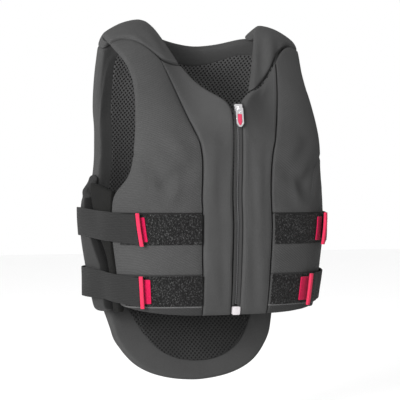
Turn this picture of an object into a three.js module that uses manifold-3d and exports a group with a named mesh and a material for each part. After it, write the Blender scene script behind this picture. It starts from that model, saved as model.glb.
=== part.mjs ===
// A padded riding vest that protects the back and chest, kept in the form it has when worn.
// Millimetres. X runs across (the wearer's left is +X), the front faces -Y, Z is up.
// The origin lies between the two places where the vest rests on the shoulders.
import * as THREE from 'three';
import Module from 'manifold-3d';
import { mergeVertices } from 'three/addons/utils/BufferGeometryUtils.js';

// Body of the vest: sizes to the outer faces of the pads
const chestHalfWidth = 173;
const frontDepth = 131;
const backDepth = 115;
const bodyShift = 12; // the middle of the chest lies this far ahead of the shoulder line
const cornerPower = 3.3; // how square a section round the body is
const chestDrop = 170; // from the shoulder line to where the chest starts to lean back
const tailDrop = 528;
const hemDrop = 417;
const hemRise = 14; // the hem climbs this much from the front seam to the side
const zipTopDrop = 138; // measured along the chest
const archPower = 1.35; // how full the slope from the chest to the shoulder is
const throatPower = 0.85; // how much fuller it is at the throat
const throatWidth = 25;
const neckPower = 0.22; // how much flatter it is along the neck edge
const neckEdgeWidth = 62;
const neckEdgeSpread = 24;

// Shoulders
const neckHalfWidth = 93;
const shoulderSlope = 0.006; // fall of the shoulder line, per millimetre squared past the neck
const napeDrop = 52;
const flapThickness = 17.5;

// Pads
const padThickness = 16;
const panelGap = 0.7;
const flapGap = 2.6; // between a shoulder and the pads below its edge
const wingGap = 1;
const seamRound = 2;
const edgeRound = 6.5;
const zipRound = 4.5;
const liningThickness = 1.2;
const liningGap = 2.6;
const liningTopBorder = 18;
const liningEndBorder = 26;
const liningSideBorder = 24;
const liningTailBorder = 34;
const frontSeamWidth = 53.5; // from the zip line to the front seam
const tailRise = 84;
const tailRound = 2.2; // how square the end of the tail is
const underarmDrop = 240;

// Side of the vest: how far each edge lies ahead of (-) or behind (+) the shoulder line
const frontPanelBack = -70;
const gussetTopBack = 11;
const gussetLowBack = -53;
const wingTopFront = 37;
const wingLowFront = -36;
const gussetThinner = 4; // the gusset is this much thinner than the pads
const gussetTopRise = 14;
const gussetHemRise = 4;
const wingTopRise = 28; // from its front edge to the back
const wingTopDip = 6;
const wingHemRise = 6;
const wingHemSag = 6;

// Closure: hook-and-loop landings, elastic straps and their bright ends
const landingHeight = 43;
const landingThickness = 1.4;
const landingOuter = chestHalfWidth - 15;
const landingInset = 1.5;
const upperLandingDrop = 272;
const lowerLandingDrop = 359;
const strapHeight = 41;
const strapThickness = 2.4;
// From the zip line to the end of each strap. The lower left one is closed further round.
const upperStrapEnd = { right: chestHalfWidth - 34, left: chestHalfWidth - 35 };
const lowerStrapEnd = { right: chestHalfWidth - 33, left: chestHalfWidth - 54 };
const upperStrapSlant = 5.7; // the foot of the end lies this much nearer the zip than its head
const lowerStrapSlant = 0;
const strapRise = 10; // the straps climb this much from their ends to the back
const bindingWidth = 5;
const bindingThickness = 4.6;
const bindingHeight = 45;
const bindingRound = 0.7;
const tabHeight = 34;
const tabThickness = 1.5;
const tabTuck = 3; // the tab reaches this far under the strap
const upperTabWidth = 5;
const lowerTabWidth = 8;
const endLift = { right: 5.5, left: 8.5 }; // how far a strap end stands off its landing
const layerGap = 0.5;

// Zip
const zipHalfGap = 6.5;
const chainHalfWidth = 2.8;
const chainThickness = 3;
const tapeThickness = 1.2;
const zipSink = 2.5; // the zip lies this deep between the pads
const tapeSink = 4.1;
const zipTopGap = 1;
const sliderWidth = 12;
const sliderHeight = 13;
const sliderThickness = 4.6;
const sliderRound = 1.4;
const sliderWaist = 0.62; // width of its lower end, as a share
const sliderLift = 1; // its face stands this far proud of the pads
const bridgeWidth = 3.4;
const bridgeHole = 3.6;
const bridgeWall = 1.2;
const hingeBar = 1.6;
const pullerWidth = 11.5;
const pullerLength = 27;
const pullerThickness = 2.4;
const pullerSlotLength = 6.2;
const pullerRim = 2.2;
const pullerPoint = 5;
const pullerRound = 1.1;
const pullerSlotGap = 0.5;
const insertGap = 0.3;
const insertThinner = 0.4;
const insertRound = 0.8;
const stopHeight = 12;
const stopWidth = 12;
const stopThickness = 4.2;
const stopRound = 2.5;
const stopGap = 1;

const chestLevel = -chestDrop;
const degree = Math.PI / 180;

// Sections of the body. drop is a share of tailDrop, the rest are shares of chestHalfWidth,
// frontDepth and backDepth, and of bodyShift for how far ahead the middle of the section is.
const sections = {
  drop: [0.322, 0.40, 0.46, 0.549, 0.682, 0.788, 0.871, 1.0],
  width: [1.0, 1.0, 1.005, 1.02, 0.98, 0.94, 0.905, 0.86],
  front: [0.992, 0.995, 1.04, 1.14, 1.12, 1.06, 1.0, 0.90],
  back: [1.017, 1.05, 1.08, 1.0, 0.79, 0.46, 0.32, 0.17],
  shift: [1.0, 0.9, 0.2, -0.6, -0.75, -0.7, -0.5, -0.2],
};

// Edges of the pads. level is a share of chestDrop above the chest and counts down from the
// shoulder line (0) along the chest or back; width is a share of chestHalfWidth.
const frontArmhole = {
  level: [0, 0.25, 0.41, 0.54, 0.63, 0.72, 0.87, 1.09, 1.235, 1.36, 1.412],
  width: [0.925, 0.890, 0.832, 0.801, 0.814, 0.832, 0.854, 0.873, 0.884, 0.919, 0.965],
};
const backEdge = {
  level: [0, 0.24, 0.63, 0.85, 1.18, 1.30, 1.46, 2.388, 2.506, 2.647, 2.765, 3.106],
  width: [0.925, 0.945, 0.922, 0.862, 0.85, 0.868, 0.88, 0.848, 0.815, 0.775, 0.752, 0.74],
};
const neckline = {
  level: [0, 0.12, 0.294, 0.362, 0.437, 0.475, 0.554, 0.622, 0.74, 0.79, 0.812],
  width: [0.545, 0.49, 0.413, 0.381, 0.347, 0.323, 0.283, 0.231, 0.116, 0.06, 0.0376],
};
const napeline = {
  level: [0, 0.134, 0.212, 0.258],
  width: [0.538, 0.497, 0.457, 0.42],
};
const frontSeam = {
  level: [0, 0.439, 0.599, 0.728, 0.874, 1.053, 1.235, 2.45],
  width: [0.56, 0.532, 0.468, 0.410, 0.353, 0.324, 0.309, 0.309],
};

// Lower edge of each shoulder where it ends on the chest. across runs from the neck (0) to
// the armhole (1), level is a share of chestDrop.
const flapEdge = {
  across: [0, 0.36, 0.56, 0.66, 0.78, 1],
  right: [0.437, 0.441, 0.33, 0.285, 0.25, 0.228],
  left: [0.596, 0.441, 0.33, 0.285, 0.25, 0.228],
};

// Top edge of the back between the shoulders, level as a share of napeDrop.
const napeEdge = {
  across: [0, 0.27, 0.38, 0.46, 0.52, 1],
  level: [1, 0.88, 0.77, 0.70, 0.68, 0.68],
};
const shoulderSeamShare = 0.68;

// Straps: how far a strap stands off the pads, along its way from the end to the back. height is
// a share of what it has at its end, where it lies over its tab and the landing.
const strapLift = {
  along: [0, 0.05, 0.1, 0.24, 0.4, 1],
  height: [1, 0.62, 0.29, 0.27, 0.02, 0],
};

// How far the upper and lower edge of a strap stand off where it turns the rear corner, and the
// share of that along its way.
const upperCorner = { head: 4, foot: 0.5 };
const lowerCorner = { head: 4, foot: 11 };
const cornerLift = {
  along: [0.42, 0.66, 0.78, 0.97],
  share: [0, 1, 1, 0],
};

function curveThrough(xs, ys, x) {
  const last = xs.length - 1;
  if (x <= xs[0]) return ys[0];
  if (x >= xs[last]) return ys[last];
  let i = 0;
  while (x > xs[i + 1]) i += 1;
  const slope = (k) => (ys[k + 1] - ys[k]) / (xs[k + 1] - xs[k]);
  const tangent = (k) => {
    if (k === 0) return slope(0);
    if (k === last) return slope(last - 1);
    const before = slope(k - 1);
    const after = slope(k);
    return before * after <= 0 ? 0 : (2 * before * after) / (before + after);
  };
  const span = xs[i + 1] - xs[i];
  const t = (x - xs[i]) / span;
  const rise = t * t * (3 - 2 * t);
  const leave = t * (1 - t) * (1 - t) * tangent(i);
  const arrive = t * t * (t - 1) * tangent(i + 1);
  return ys[i] * (1 - rise) + ys[i + 1] * rise + span * (leave + arrive);
}

function signedPower(value, power) {
  return Math.sign(value) * Math.abs(value) ** power;
}

function section(key, z) {
  return curveThrough(sections.drop, sections[key], -z / tailDrop);
}

function halfWidth(z) {
  return chestHalfWidth * section('width', z);
}

function middle(z) {
  return bodyShift * section('shift', z);
}

// Point of the outer form. turn goes round from the front (0) over the wearer's left side (90)
// to the back (180); level is the drop along the body, negative downwards.
function formPoint(turn, level) {
  const z = Math.min(level, chestLevel);
  const ahead = Math.cos(turn * degree);
  const x = halfWidth(z) * signedPower(Math.sin(turn * degree), 2 / cornerPower);
  const depth = ahead > 0 ? frontDepth * section('front', z) : backDepth * section('back', z);
  const y = -middle(z) - depth * signedPower(ahead, 2 / cornerPower);
  if (level <= chestLevel) return new THREE.Vector3(x, y, level);
  const past = Math.max(0, Math.abs(x) - neckHalfWidth);
  const ridge = flapThickness - shoulderSlope * past * past;
  const fuller = ahead > 0 ? throatPower * Math.exp(-((x / throatWidth) ** 2)) : 0;
  const flatter = ahead > 0 ? neckPower * Math.exp(-(((Math.abs(x) - neckEdgeWidth) / neckEdgeSpread) ** 2)) : 0;
  const bend = 2 / (archPower + fuller - flatter);
  const climb = (1 - level / chestLevel) * 90 * degree;
  const lean = signedPower(Math.cos(climb), bend);
  const rise = signedPower(Math.sin(climb), bend);
  return new THREE.Vector3(x, y * lean, chestLevel + (ridge - chestLevel) * rise);
}

// Direction out of the form at a turn and level
function formNormal(turn, level) {
  const turnStep = 0.2;
  const levelStep = 0.5;
  const round = formPoint(turn + turnStep, level).sub(formPoint(turn - turnStep, level));
  const up = formPoint(turn, level + levelStep).sub(formPoint(turn, level - levelStep));
  return round.cross(up).normalize();
}

function turnOfWidth(x, level) {
  const share = Math.min(1, Math.abs(x) / halfWidth(Math.min(level, chestLevel)));
  return Math.sign(x) * Math.asin(share ** (cornerPower / 2)) / degree;
}

function turnOfDepth(y, level) {
  const z = Math.min(level, chestLevel);
  const ahead = -(y + middle(z));
  const depth = ahead > 0 ? frontDepth * section('front', z) : backDepth * section('back', z);
  return Math.acos(signedPower(ahead / depth, cornerPower / 2)) / degree;
}

// Turn at a share f of the way along the form between two turns at one level.
function spread(turnA, turnB, level, f) {
  const steps = 40;
  const lengths = [0];
  let last = formPoint(turnA, level);
  for (let i = 1; i <= steps; i += 1) {
    const next = formPoint(turnA + ((turnB - turnA) * i) / steps, level);
    lengths.push(lengths[i - 1] + next.distanceTo(last));
    last = next;
  }
  const wanted = Math.min(1, Math.max(0, f)) * lengths[steps];
  let i = 0;
  while (i < steps - 1 && lengths[i + 1] < wanted) i += 1;
  const part = (wanted - lengths[i]) / Math.max(1e-9, lengths[i + 1] - lengths[i]);
  return { turn: turnA + ((turnB - turnA) * (i + part)) / steps, length: lengths[steps] };
}

function roundDrop(distance, radius) {
  if (distance >= radius) return 0;
  return radius - Math.sqrt(radius * radius - (radius - distance) ** 2);
}

function edgeSteps(radius) {
  if (radius === 0) return [0];
  return radius > 3 ? [0, radius * 0.3, radius] : [0, radius];
}

// Distances 0..1 along a line of a length, with close steps inside each rounded end.
function shares(count, length, startRadius, endRadius) {
  const start = Math.min(startRadius, length * 0.4);
  const end = Math.min(endRadius, length * 0.4);
  const part = (e, radius) => (radius > 0 ? e / radius : 0);
  const list = edgeSteps(startRadius).map((e) => (part(e, startRadius) * start) / length);
  const from = start / length;
  const to = 1 - end / length;
  for (let i = 1; i < count; i += 1) list.push(from + ((to - from) * i) / count);
  edgeSteps(endRadius).reverse().forEach((e) => list.push(1 - (part(e, endRadius) * end) / length));
  return list;
}

function closedSheet(outer, inner) {
  const rows = outer.length;
  const columns = outer[0].length;
  const positions = [];
  [outer, inner].forEach((grid) => grid.forEach((row) => row.forEach((p) => positions.push(p.x, p.y, p.z))));
  const at = (side, i, j) => side * rows * columns + i * columns + j;
  const index = [];
  const quad = (a, b, c, d) => index.push(a, b, c, a, c, d);
  for (let i = 0; i < rows - 1; i += 1) {
    for (let j = 0; j < columns - 1; j += 1) {
      quad(at(0, i, j), at(0, i, j + 1), at(0, i + 1, j + 1), at(0, i + 1, j));
      quad(at(1, i, j), at(1, i + 1, j), at(1, i + 1, j + 1), at(1, i, j + 1));
    }
  }
  for (let j = 0; j < columns - 1; j += 1) {
    quad(at(0, 0, j), at(1, 0, j), at(1, 0, j + 1), at(0, 0, j + 1));
    quad(at(0, rows - 1, j), at(0, rows - 1, j + 1), at(1, rows - 1, j + 1), at(1, rows - 1, j));
  }
  for (let i = 0; i < rows - 1; i += 1) {
    quad(at(0, i, 0), at(0, i + 1, 0), at(1, i + 1, 0), at(1, i, 0));
    quad(at(0, i, columns - 1), at(1, i, columns - 1), at(1, i + 1, columns - 1), at(0, i + 1, columns - 1));
  }
  if (signedVolume(positions, index) < 0) {
    for (let k = 0; k < index.length; k += 3) {
      const swap = index[k + 1];
      index[k + 1] = index[k + 2];
      index[k + 2] = swap;
    }
  }
  const geometry = new THREE.BufferGeometry();
  geometry.setAttribute('position', new THREE.Float32BufferAttribute(positions, 3));
  geometry.setIndex(index);
  geometry.computeVertexNormals();
  return geometry;
}

function signedVolume(positions, index) {
  const corner = (k) => new THREE.Vector3(...positions.slice(3 * k, 3 * k + 3));
  let sum = 0;
  for (let k = 0; k < index.length; k += 3) {
    const b = corner(index[k + 1]);
    sum += corner(index[k]).dot(b.cross(corner(index[k + 2])));
  }
  return sum / 6;
}

// A pad over a patch of the form. place(f, t) gives the turn and level of a point; f runs round
// the body and t up it. radii are the roundings of its four edges.
function pad({ place, around, up, thickness, radii, lift = () => 0 }) {
  const pointAt = (f, t) => {
    const { turn, level } = place(f, t);
    return formPoint(turn, level);
  };
  const lengthAlong = (point) => {
    let sum = 0;
    for (let k = 0; k < 16; k += 1) sum += point(k / 16).distanceTo(point((k + 1) / 16));
    return sum;
  };
  const middleWidth = lengthAlong((f) => pointAt(f, 0.5));
  const baseShares = shares(around, middleWidth, radii.start, radii.end);
  const columnHeights = baseShares.map((f) => lengthAlong((t) => pointAt(f, t)));
  const columnShares = columnHeights.map((height) => shares(up, height, radii.bottom, radii.top));
  const outer = [];
  const inner = [];
  columnShares[0].forEach((first, i) => {
    const middleShare = columnShares[Math.floor(columnShares.length / 2)][i];
    const width = lengthAlong((f) => pointAt(f, middleShare));
    outer.push([]);
    inner.push([]);
    shares(around, width, radii.start, radii.end).forEach((f, j) => {
      const t = columnShares[j][i];
      const { turn, level } = place(f, t);
      const point = formPoint(turn, level);
      const normal = formNormal(turn, level);
      const drop = Math.max(
        roundDrop(f * width, Math.min(radii.start, width * 0.4)),
        roundDrop((1 - f) * width, Math.min(radii.end, width * 0.4)),
        roundDrop(t * columnHeights[j], Math.min(radii.bottom, columnHeights[j] * 0.4)),
        roundDrop((1 - t) * columnHeights[j], Math.min(radii.top, columnHeights[j] * 0.4)),
      );
      const high = lift(f, t);
      outer[i].push(point.clone().addScaledVector(normal, high - drop));
      inner[i].push(point.clone().addScaledVector(normal, high - thickness + drop));
    });
  });
  return closedSheet(outer, inner);
}

// A patch between two edges given as turns at a level, and two levels given across it.
function patch({ startTurn, endTurn, bottomLevel, topLevel, side = 1 }) {
  return (f, t) => {
    const across = Math.min(1, Math.max(0, f));
    const low = bottomLevel(across);
    const level = low + (topLevel(across) - low) * t;
    return { turn: side * spread(startTurn(level), endTurn(level), level, f).turn, level };
  };
}

function edgeWidth(edge, level) {
  return chestHalfWidth * curveThrough(edge.level, edge.width, -level / chestDrop);
}

function lowerWidth(width, level) {
  return width * section('width', Math.min(level, chestLevel));
}

// Edges round the body, as turns at a level
// Millimetres round the form for one degree of turn
const roundReach = (turn, level) => formPoint(turn + 0.5, level).distanceTo(formPoint(turn - 0.5, level));
const gapTurn = (turn, level, share) => turn + (share * panelGap) / Math.max(roundReach(turn, level), 0.2);
const seamTurn = (level) => {
  const width = level > -1.235 * chestDrop ? edgeWidth(frontSeam, level) : lowerWidth(frontSeamWidth, level);
  return turnOfWidth(width, level);
};
const zipTurn = (level) => {
  const opening = level > -zipTopDrop ? edgeWidth(neckline, level) : zipHalfGap;
  return turnOfWidth(Math.max(zipHalfGap, opening), level);
};
const frontBackTurn = (level) => turnOfDepth(frontPanelBack, level);
const armholeTurn = (level) => {
  const width = edgeWidth(frontArmhole, level);
  if (level < -underarmDrop) return frontBackTurn(level);
  return Math.min(turnOfWidth(width, level), frontBackTurn(Math.min(level, chestLevel)));
};
const backEdgeTurn = (level) => 180 - turnOfWidth(edgeWidth(backEdge, level), level);

const colours = {
  smooth: new THREE.Color(0x4a4a4b),
  ribbed: new THREE.Color(0x444445),
  lining: new THREE.Color(0x2f2f30),
  hook: new THREE.Color(0x1d1d1d),
  elastic: new THREE.Color(0x3b3b3c),
  bright: new THREE.Color(0xd81250),
  metal: new THREE.Color(0xb9b6b8),
  tape: new THREE.Color(0x2b2b2c),
};

const vest = new THREE.Group();

function addPiece(name, geometry, colour, roughness = 0.9, metalness = 0) {
  const material = new THREE.MeshStandardMaterial({ color: colour, roughness, metalness });
  const mesh = new THREE.Mesh(geometry, material);
  mesh.name = name;
  vest.add(mesh);
  return mesh;
}

const sides = [
  { name: 'right', sign: -1 },
  { name: 'left', sign: 1 },
];

function flapLevel(sideName, across) {
  return -chestDrop * curveThrough(flapEdge.across, flapEdge[sideName], across);
}

const neckTurn = (level) => turnOfWidth(edgeWidth(neckline, level), level);

// Level at which a column of a front panel meets the lower edge of the shoulder
function meetFlap(sideName, startTurn, endTurn, f) {
  let level = flapLevel(sideName, 0.5);
  for (let i = 0; i < 12; i += 1) {
    const { turn } = spread(startTurn(level), endTurn(level), level, f);
    const whole = spread(neckTurn(level), armholeTurn(level), level, 1).length;
    const across = spread(neckTurn(level), turn, level, 1).length / whole;
    level += 0.6 * (flapLevel(sideName, across) - level);
  }
  return level - flapGap;
}

function frontCentre({ name, sign }) {
  const startTurn = (level) => zipTurn(level);
  const endTurn = (level) => gapTurn(seamTurn(level), level, -0.5);
  const place = patch({
    startTurn,
    endTurn,
    bottomLevel: () => -hemDrop,
    topLevel: (f) => meetFlap(name, startTurn, endTurn, f),
    side: sign,
  });
  const radii = { start: zipRound, end: seamRound, bottom: edgeRound, top: seamRound };
  const geometry = pad({ place, around: 3, up: 16, thickness: padThickness, radii });
  addPiece(`front_centre_${name}`, geometry, colours.smooth);
}

function frontSide({ name, sign }) {
  const startTurn = (level) => gapTurn(seamTurn(level), level, 0.5);
  const endTurn = (level) => armholeTurn(level);
  const place = patch({
    startTurn,
    endTurn,
    bottomLevel: (f) => -hemDrop + hemRise * f ** 2.5,
    topLevel: (f) => meetFlap(name, startTurn, endTurn, f),
    side: sign,
  });
  const radii = { start: seamRound, end: edgeRound, bottom: edgeRound, top: seamRound };
  const geometry = pad({ place, around: 6, up: 16, thickness: padThickness, radii });
  addPiece(`front_side_${name}`, geometry, colours.ribbed);
}

// The shoulder runs from the back (run below 0) over the shoulder line to the chest.
function shoulder({ name, sign }) {
  const backRun = -shoulderSeamShare * napeDrop + panelGap / 2;
  const place = (f, t) => {
    const across = Math.min(1, Math.max(0, f));
    const run = backRun + (-flapLevel(name, across) - backRun) * t;
    const level = -Math.abs(run);
    const neck = turnOfWidth(edgeWidth(run < 0 ? napeline : neckline, level), level);
    const arm = turnOfWidth(edgeWidth(run < 0 ? backEdge : frontArmhole, level), level);
    const from = run < 0 ? 180 - neck : neck;
    const to = run < 0 ? 180 - arm : arm;
    return { turn: sign * spread(from, to, level, across).turn, level };
  };
  const radii = { start: edgeRound, end: edgeRound, bottom: seamRound, top: seamRound };
  const geometry = pad({ place, around: 7, up: 9, thickness: padThickness, radii });
  addPiece(`shoulder_${name}`, geometry, colours.smooth);
}

function backPlace({ topInset, endInset, sideInset }) {
  const reach = (level) => turnOfWidth(edgeWidth(backEdge, level) - sideInset(level), level);
  return (f, t) => {
    const across = Math.abs(2 * Math.min(1, Math.max(0, f)) - 1);
    const bottom = 1 - (1 - across ** tailRound) ** (1 / tailRound);
    const tail = -tailDrop + tailRise * bottom + endInset;
    const top = -napeDrop * curveThrough(napeEdge.across, napeEdge.level, across) - topInset;
    const level = tail + (top - tail) * t;
    return { turn: spread(180 + reach(level), 180 - reach(level), level, f).turn, level };
  };
}

function backPanel() {
  const radii = { start: edgeRound, end: edgeRound, bottom: edgeRound, top: edgeRound };
  const geometry = pad({
    place: backPlace({ topInset: 0, endInset: 0, sideInset: () => 0 }),
    around: 14,
    up: 17,
    thickness: padThickness,
    radii,
  });
  addPiece('back_panel', geometry, colours.smooth);
}

function liningInset(level) {
  const down = Math.min(1, Math.max(0, (-level - underarmDrop) / (hemDrop - underarmDrop)));
  return liningSideBorder + (liningTailBorder - liningSideBorder) * down;
}

const square = { start: 0, end: 0, bottom: 0, top: 0 };

function backLining() {
  const radii = square;
  const geometry = pad({
    place: backPlace({ topInset: liningTopBorder, endInset: liningEndBorder, sideInset: liningInset }),
    around: 14,
    up: 17,
    thickness: liningThickness,
    radii,
    lift: () => -padThickness - liningGap,
  });
  addPiece('back_lining', geometry, colours.lining);
}

function sideGusset({ name, sign }) {
  const backEdge = (level) => {
    const down = Math.min(1, Math.max(0, (-level - underarmDrop) / (hemDrop - underarmDrop) / 0.5));
    return gussetTopBack + (gussetLowBack - gussetTopBack) * down;
  };
  const place = patch({
    startTurn: (level) => gapTurn(frontBackTurn(level), level, 1),
    endTurn: (level) => turnOfDepth(backEdge(level), level),
    bottomLevel: () => -hemDrop + gussetHemRise,
    topLevel: (f) => -underarmDrop + gussetTopRise * Math.sin(Math.min(1, f * 1.2) * 75 * degree),
    side: sign,
  });
  const thickness = padThickness - gussetThinner;
  const loose = edgeRound - seamRound;
  const radii = { start: seamRound, end: loose, bottom: loose, top: loose };
  const geometry = pad({ place, around: 2, up: 10, thickness, radii });
  addPiece(`side_gusset_${name}`, geometry, colours.smooth);
}

function backWing({ name, sign }) {
  const frontEdge = (level) => {
    const down = Math.min(1, Math.max(0, (-level - underarmDrop) / (hemDrop - underarmDrop) / 0.6));
    return wingTopFront + (wingLowFront - wingTopFront) * down;
  };
  const place = patch({
    startTurn: (level) => turnOfDepth(frontEdge(level), level),
    endTurn: (level) => gapTurn(backEdgeTurn(level), level, -wingGap / panelGap),
    bottomLevel: (f) => -hemDrop + wingHemRise - wingHemSag * Math.sin(f * Math.PI),
    topLevel: (f) => -underarmDrop + wingTopRise * f * f - wingTopDip * (1 - f),
    side: sign,
  });
  const radii = { start: edgeRound, end: seamRound, bottom: edgeRound, top: edgeRound };
  const geometry = pad({ place, around: 5, up: 10, thickness: padThickness, radii });
  addPiece(`back_wing_${name}`, geometry, colours.smooth);
}

const closures = [
  {
    place: 'upper',
    drop: upperLandingDrop,
    tab: upperTabWidth,
    end: upperStrapEnd,
    slant: upperStrapSlant,
    corner: upperCorner,
  },
  {
    place: 'lower',
    drop: lowerLandingDrop,
    tab: lowerTabWidth,
    end: lowerStrapEnd,
    slant: lowerStrapSlant,
    corner: lowerCorner,
  },
];

function landing({ name, sign }, { place: row, drop }) {
  const place = patch({
    startTurn: (level) => gapTurn(seamTurn(level), level, 1 + landingInset / panelGap),
    endTurn: (level) => turnOfWidth(lowerWidth(landingOuter, level), level),
    bottomLevel: () => -drop - landingHeight,
    topLevel: () => -drop,
    side: sign,
  });
  const geometry = pad({
    place, around: 12, up: 3, thickness: landingThickness, radii: square, lift: () => layerGap + landingThickness,
  });
  addPiece(`landing_${row}_${name}`, geometry, colours.hook);
}

// Height of a strap's middle at a share of its way from the front end (0) to the back seam (1)
function strapMiddle(drop, along) {
  return -drop - landingHeight / 2 + strapRise * Math.sin(Math.min(1, along * 1.1) * 90 * degree);
}

// A patch along a strap. share(f) is the share of the strap's way, and the slant of its end dies
// out towards the back.
function strapPatch({ sign, drop, height, slant, startTurn, endTurn, share }) {
  return (f, t) => {
    const along = share(Math.min(1, Math.max(0, f)));
    const middle = strapMiddle(drop, along);
    const level = middle + (t - 0.5) * height;
    const lean = (slant * (0.5 - t) * height * (1 - along)) / strapHeight;
    const turn = spread(startTurn(middle), endTurn(middle), middle, f).turn;
    return { turn: sign * (turn - lean / roundReach(turn, middle)), level };
  };
}

const landingTop = layerGap + landingThickness;

function strap({ name, sign }, { place: row, drop, end, slant, corner }) {
  const startTurn = (level) => turnOfWidth(lowerWidth(end[name], level), level);
  const place = strapPatch({
    sign, drop, slant, startTurn, height: strapHeight, endTurn: backEdgeTurn, share: (f) => f,
  });
  const lift = (f, t) => layerGap + strapThickness
    + (landingTop + endLift[name]) * curveThrough(strapLift.along, strapLift.height, f)
    + (corner.foot + (corner.head - corner.foot) * t) * curveThrough(cornerLift.along, cornerLift.share, f);
  const geometry = pad({
    place, around: 22, up: 2, thickness: strapThickness, radii: square, lift,
  });
  addPiece(`strap_${row}_${name}`, geometry, colours.elastic);
}

function strapEnd({ name, sign }, { place: row, drop, tab, end, slant }) {
  const edge = (level, offset) => {
    const turn = turnOfWidth(lowerWidth(end[name], level), level);
    return turn - offset / roundReach(turn, level);
  };
  const radii = { start: bindingRound, end: bindingRound, bottom: bindingRound, top: bindingRound };
  const binding = strapPatch({
    sign,
    drop,
    slant,
    height: bindingHeight,
    startTurn: (level) => edge(level, layerGap + bindingWidth),
    endTurn: (level) => edge(level, layerGap),
    share: () => 0,
  });
  const bindingLift = landingTop + layerGap + endLift[name] + (strapThickness + bindingThickness) / 2;
  addPiece(`strap_binding_${row}_${name}`, pad({
    place: binding, around: 1, up: 3, thickness: bindingThickness, radii, lift: () => bindingLift,
  }), colours.bright);
  const tabPatch = strapPatch({
    sign,
    drop,
    slant,
    height: tabHeight,
    startTurn: (level) => edge(level, layerGap + bindingWidth + tab),
    endTurn: (level) => edge(level, -tabTuck),
    share: () => 0,
  });
  addPiece(`strap_tab_${row}_${name}`, pad({
    place: tabPatch, around: 3, up: 2, thickness: tabThickness, radii: square,
    lift: () => landingTop + layerGap + tabThickness,
  }), colours.bright);
}

// Strips that follow the front's centre line, from x = from to x = to.
function zipStrip(from, to, bottomLevel, topLevel, thickness, lift, up) {
  const place = (f, t) => {
    const level = bottomLevel + (topLevel - bottomLevel) * t;
    return { turn: turnOfWidth(from + (to - from) * f, level), level };
  };
  return pad({ place, around: 1, up, thickness, radii: square, lift: () => lift });
}

const zipTop = -zipTopDrop - zipTopGap;
const chainBottom = -hemDrop + stopHeight + stopGap + panelGap;
const sliderLevel = zipTop - sliderHeight / 2;

function zip() {
  const inner = chainHalfWidth + panelGap;
  const outer = zipHalfGap - panelGap;
  sides.forEach(({ name, sign }) => {
    const strip = zipStrip(
      sign > 0 ? inner : -outer, sign > 0 ? outer : -inner, chainBottom, zipTop, tapeThickness, -tapeSink, 16,
    );
    addPiece(`zip_tape_${name}`, strip, colours.tape);
  });
  const chainTop = zipTop - sliderHeight * 0.9;
  addPiece('zip_chain', zipStrip(
    -chainHalfWidth, chainHalfWidth, chainBottom, chainTop, chainThickness, -zipSink, 16,
  ), colours.metal, 0.5, 0.6);
}

// A frame on the zip line: x across, y out of the chest (negative), z up along the zip.
function onZip(mesh, level, lift) {
  const here = formPoint(0, level);
  const above = formPoint(0, level + 2);
  const tilt = Math.atan2(-(above.y - here.y), above.z - here.z);
  mesh.rotation.x = tilt;
  mesh.position.set(0, here.y - lift * Math.cos(tilt), here.z - lift * Math.sin(tilt));
}

// Outlines are drawn in x and z and given their thickness outwards, along -y.
function plate(shape, thickness) {
  const geometry = new THREE.ExtrudeGeometry(shape, { depth: thickness, bevelEnabled: false, curveSegments: 5 });
  return geometry.rotateX(Math.PI / 2);
}

function roundedOutline(points, radius) {
  const shape = new THREE.Shape();
  points.forEach(([x, y], i) => {
    const before = points[(i + points.length - 1) % points.length];
    const after = points[(i + 1) % points.length];
    const toward = ([px, py]) => {
      const length = Math.hypot(px - x, py - y);
      return [x + ((px - x) * radius) / length, y + ((py - y) * radius) / length];
    };
    const enter = toward(before);
    const leave = toward(after);
    if (i === 0) shape.moveTo(...enter);
    else shape.lineTo(...enter);
    shape.quadraticCurveTo(x, y, ...leave);
  });
  shape.closePath();
  return shape;
}

function solidOf(geometry) {
  const bare = geometry.clone();
  bare.deleteAttribute('normal');
  bare.deleteAttribute('uv');
  const merged = mergeVertices(bare, 1e-4);
  return new wasm.Manifold(new wasm.Mesh({
    numProp: 3,
    vertProperties: new Float32Array(merged.attributes.position.array),
    triVerts: new Uint32Array(merged.index.array),
  }));
}

function geometryOf(solid) {
  const mesh = solid.getMesh();
  const geometry = new THREE.BufferGeometry();
  geometry.setAttribute('position', new THREE.BufferAttribute(new Float32Array(mesh.vertProperties), 3));
  geometry.setIndex(new THREE.BufferAttribute(new Uint32Array(mesh.triVerts), 1));
  geometry.computeVertexNormals();
  return geometry;
}

// The bridge is a small staple on the slider's face; the puller's top bar hangs in it.
function slider() {
  const half = sliderWidth / 2;
  const waist = half * sliderWaist;
  const outline = roundedOutline([
    [-waist, -sliderHeight / 2], [waist, -sliderHeight / 2],
    [half, -sliderHeight / 6], [half, sliderHeight / 2],
    [-half, sliderHeight / 2], [-half, -sliderHeight / 6],
  ], sliderRound);
  const body = plate(outline, sliderThickness);
  const depth = bridgeHole + bridgeWall;
  const tall = bridgeHole / 2 + bridgeWall;
  const staple = new THREE.Shape();
  staple.moveTo(-bridgeWall / 2, -tall);
  staple.lineTo(depth, -tall);
  staple.lineTo(depth, tall);
  staple.lineTo(-bridgeWall / 2, tall);
  staple.closePath();
  const hole = new THREE.Path();
  hole.moveTo(0, -bridgeHole / 2);
  hole.lineTo(0, bridgeHole / 2);
  hole.lineTo(bridgeHole, bridgeHole / 2);
  hole.lineTo(bridgeHole, -bridgeHole / 2);
  hole.closePath();
  staple.holes.push(hole);
  const bridge = new THREE.ExtrudeGeometry(staple, { depth: bridgeWidth, bevelEnabled: false });
  bridge.rotateX(Math.PI / 2).rotateZ(-Math.PI / 2);
  bridge.translate(bridgeWidth / 2, -sliderThickness, 0);
  const mesh = addPiece('zip_slider', geometryOf(solidOf(body).add(solidOf(bridge))), colours.metal, 0.3, 0.9);
  onZip(mesh, sliderLevel, sliderLift - sliderThickness);
}

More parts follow.
